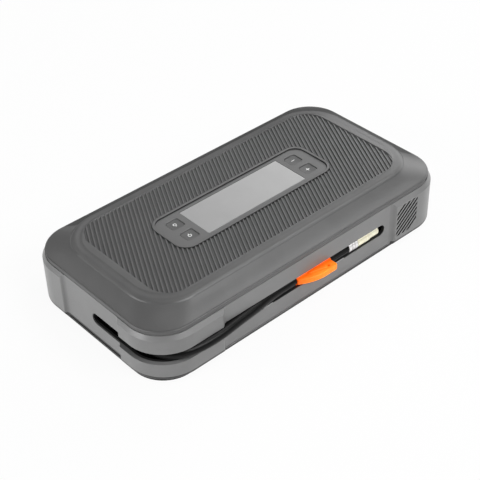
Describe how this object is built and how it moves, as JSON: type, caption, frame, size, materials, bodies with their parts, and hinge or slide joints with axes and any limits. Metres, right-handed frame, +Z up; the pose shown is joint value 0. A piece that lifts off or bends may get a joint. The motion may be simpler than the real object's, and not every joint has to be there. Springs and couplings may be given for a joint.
{
  "type": "jump starter pack",
  "caption": "Portable jump starter pack with a ribbed cover, a display panel with push buttons, corner bumpers, and a built-in air compressor whose hose lies in a side groove.",
  "frame": {"origin": "middle of the case's footprint, on the surface that its feet stand on", "axes": "+X along the long side towards the jump socket, +Y away from the side with the hose groove, +Z up through the display"},
  "size_m": [0.25, 0.1338, 0.046],
  "materials": {
    "case_shell": "fine matt grey, slightly satin",
    "cover_shell": "satin dark grey with moulded ribs",
    "panel": "smooth grey, half gloss",
    "lens": "clear hard coated plastic window",
    "display": "pale grey liquid crystal display",
    "keys": "dark grey silicone with white icons",
    "board": "green circuit board",
    "switch": "black switch bodies",
    "screw_steel": "zinc plated steel",
    "foot_rubber": "black rubber",
    "black_liner": "black, matt",
    "brass": "turned brass",
    "hose_rubber": "black rubber with a soft sheen",
    "ferrule_steel": "nickel plated steel",
    "tab_silicone": "orange silicone",
    "cell_pouch": "aluminium laminate pouch",
    "foam": "black foam",
    "nickel": "nickel strip",
    "motor_steel": "zinc plated motor can",
    "shaft_steel": "ground steel",
    "fan_plastic": "black nylon",
    "gear_plastic": "natural white acetal",
    "die_cast": "die cast aluminium",
    "seal": "filled fluoropolymer",
    "tube_silicone": "pale silicone tube",
    "relay_plastic": "black relay housing",
    "socket_blue": "blue socket housing",
    "port_steel": "stamped steel shells",
    "door_rubber": "dark grey rubber cover",
    "lamp_lens": "clear lamp window",
    "mirror_cup": "metallised reflector",
    "lead_red": "red silicone lead",
    "lead_black": "black silicone lead"
  },
  "bodies": {
    "pack": {"lower_housing": "case_shell", "top_cover": "cover_shell", "display_panel": "panel", "display_lens": "lens", "display_module": "display", "control_board": "board", "key_switches": "switch", "board_screws": "screw_steel", "case_screws": "screw_steel", "rubber_feet": "foot_rubber", "base_pad": "foot_rubber", "hose_channel": "black_liner", "hose_nipple": "brass", "air_hose": "hose_rubber", "hose_sleeve": "hose_rubber", "crimp_ferrule": "ferrule_steel", "pull_tab": "tab_silicone", "battery_pads": "foam", "cell_board": "board", "cell_tabs": "nickel", "compressor_motor": "motor_steel", "crankcase": "die_cast", "cylinder_head": "die_cast", "air_tube": "tube_silicone", "power_board": "board", "power_board_stands": "shaft_steel", "power_relay": "relay_plastic", "jump_socket": "socket_blue", "port_board": "board", "usb_a_ports": "port_steel", "usb_c_port": "port_steel", "lead_terminals": "relay_plastic", "jump_cover_pin": "shaft_steel", "port_cover_pin": "shaft_steel", "battery_cell_1": "cell_pouch", "battery_cell_2": "cell_pouch", "battery_cell_3": "cell_pouch", "battery_cell_4": "cell_pouch", "torch_lens": "lamp_lens", "torch_reflector": "mirror_cup", "torch_lamp": "board", "lead_negative": "lead_black", "lead_positive": "lead_red"},
    "motor_rotor": {"motor_shaft": "shaft_steel", "cooling_fan": "fan_plastic", "drive_pinion": "brass"},
    "crank": {"crank_gear": "gear_plastic"},
    "piston": {"piston": "die_cast", "piston_ring": "seal"},
    "chuck": {"air_chuck": "brass"},
    "jump_door": {"jump_cover": "door_rubber"},
    "port_door": {"port_cover": "door_rubber"},
    "button_light": {"button_light": "keys"},
    "button_power": {"button_power": "keys"},
    "button_minus": {"button_minus": "keys"},
    "button_plus": {"button_plus": "keys"}
  },
  "joints": [
    {"name": "button_light_press", "type": "slide", "parent": "pack", "child": "button_light", "axis": [0, 0, -1], "range_m": [0, 0.0005], "stiffness_N_per_m": 500},
    {"name": "button_power_press", "type": "slide", "parent": "pack", "child": "button_power", "axis": [0, 0, -1], "range_m": [0, 0.0005], "stiffness_N_per_m": 500},
    {"name": "button_minus_press", "type": "slide", "parent": "pack", "child": "button_minus", "axis": [0, 0, -1], "range_m": [0, 0.0005], "stiffness_N_per_m": 500},
    {"name": "button_plus_press", "type": "slide", "parent": "pack", "child": "button_plus", "axis": [0, 0, -1], "range_m": [0, 0.0005], "stiffness_N_per_m": 500},
    {"name": "jump_door_hinge", "type": "hinge", "parent": "pack", "child": "jump_door", "pos_m": [0.1228, -0.006, 0.0289], "axis": [0, -1, 0], "range_deg": [0, 110]},
    {"name": "port_door_hinge", "type": "hinge", "parent": "pack", "child": "port_door", "pos_m": [0.044, 0.0623, 0.0289], "axis": [1, 0, 0], "range_deg": [0, 110]},
    {"name": "crank_spin", "type": "hinge", "parent": "pack", "child": "crank", "pos_m": [0.06, 0.0185, 0.0195], "axis": [0, 1, 0], "continuous": true},
    {"name": "motor_spin", "type": "hinge", "parent": "pack", "child": "motor_rotor", "pos_m": [0.08, 0.0185, 0.0195], "axis": [0, 1, 0], "continuous": true},
    {"name": "piston_stroke", "type": "slide", "parent": "pack", "child": "piston", "axis": [1, 0, 0], "range_m": [0, 0.01]},
    {"name": "chuck_spin", "type": "hinge", "parent": "pack", "child": "chuck", "pos_m": [0.05, -0.0588, 0.0176], "axis": [1, 0, 0], "continuous": true}
  ],
  "couplings": [
    {"joint": "motor_spin", "follows": "crank_spin", "ratio": -2.5714}
  ]
}
